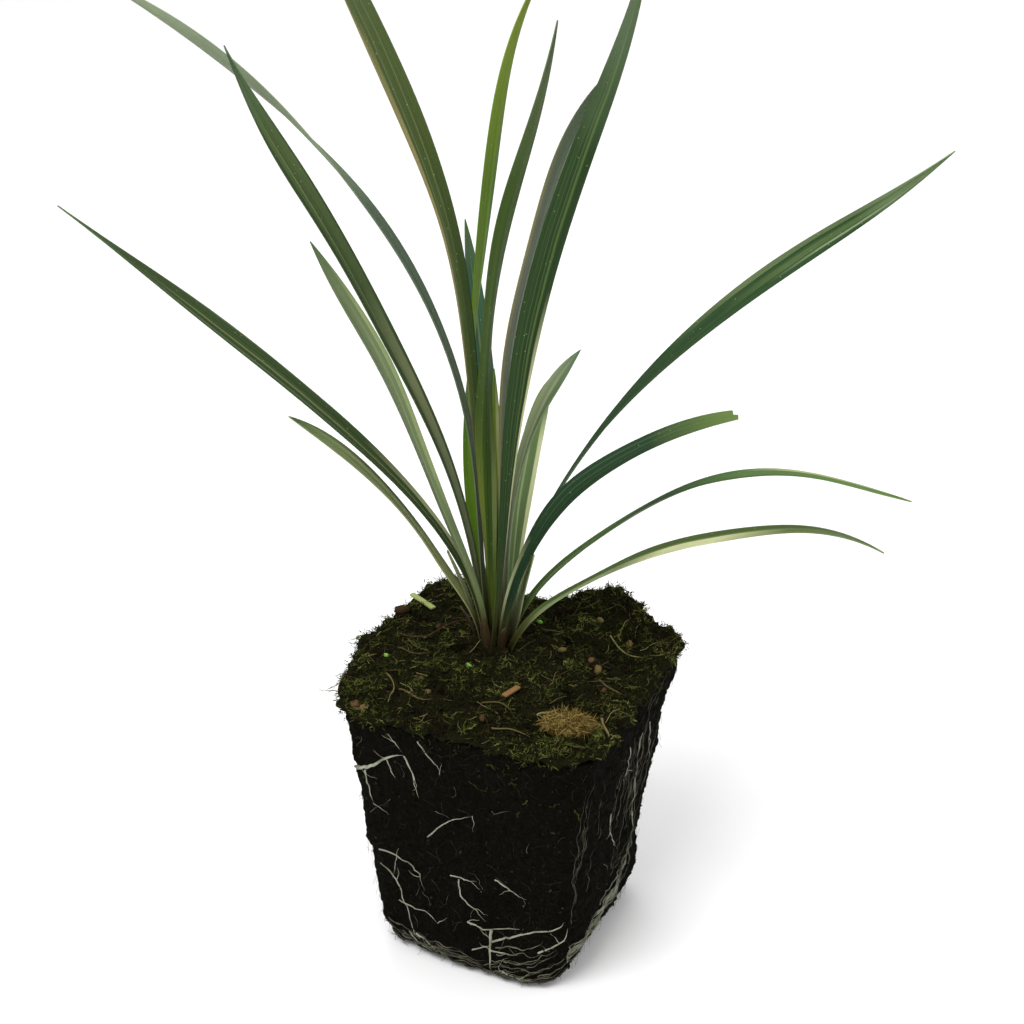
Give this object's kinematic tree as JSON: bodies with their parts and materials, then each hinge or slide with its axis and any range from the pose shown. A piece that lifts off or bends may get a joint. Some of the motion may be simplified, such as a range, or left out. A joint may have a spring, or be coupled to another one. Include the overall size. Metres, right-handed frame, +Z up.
{
  "type": "cordyline plug plant",
  "caption": "Young cordyline with variegated strap leaves, out of its pot: tapered square root ball of peat with a moss top and white roots.",
  "frame": {"origin": "middle of the flat base of the root ball, on the ground", "axes": "+Z up along the stem; -Y out of the side of the root ball that the picture shows widest; +X out of the side that it shows narrow"},
  "size_m": [0.261, 0.1878, 0.3756],
  "materials": {
    "peat": "matte",
    "moss": "matte",
    "dry_moss": "matte",
    "stem": "matte",
    "leaf": "satin",
    "white_root": "matte",
    "bark": "matte",
    "cut_leaf": "satin"
  },
  "bodies": {
    "root": {"root_ball": "peat", "moss_mat": "moss", "stem": "stem", "dry_tuft": "dry_moss", "bark_chip": "bark", "cut_leaf_stub": "cut_leaf", "leaf_01": "leaf", "leaf_02": "leaf", "leaf_03": "leaf", "leaf_04": "leaf", "leaf_05": "leaf", "leaf_06": "leaf", "leaf_07": "leaf", "leaf_08": "leaf", "leaf_09": "leaf", "leaf_10": "leaf", "leaf_11": "leaf", "leaf_12": "leaf", "leaf_13": "leaf", "leaf_14": "leaf", "leaf_15": "leaf", "leaf_16": "leaf", "leaf_17": "leaf", "leaf_18": "leaf", "root_01": "white_root", "root_02": "white_root", "root_03": "white_root", "root_04": "white_root", "root_05": "white_root", "root_06": "white_root", "root_07": "white_root", "root_08": "white_root", "root_09": "white_root", "root_10": "white_root", "root_11": "white_root", "root_12": "white_root", "root_13": "white_root", "root_14": "white_root", "root_15": "white_root", "root_16": "white_root", "root_17": "white_root", "root_18": "white_root", "root_19": "white_root"}
  },
  "joints": []
}
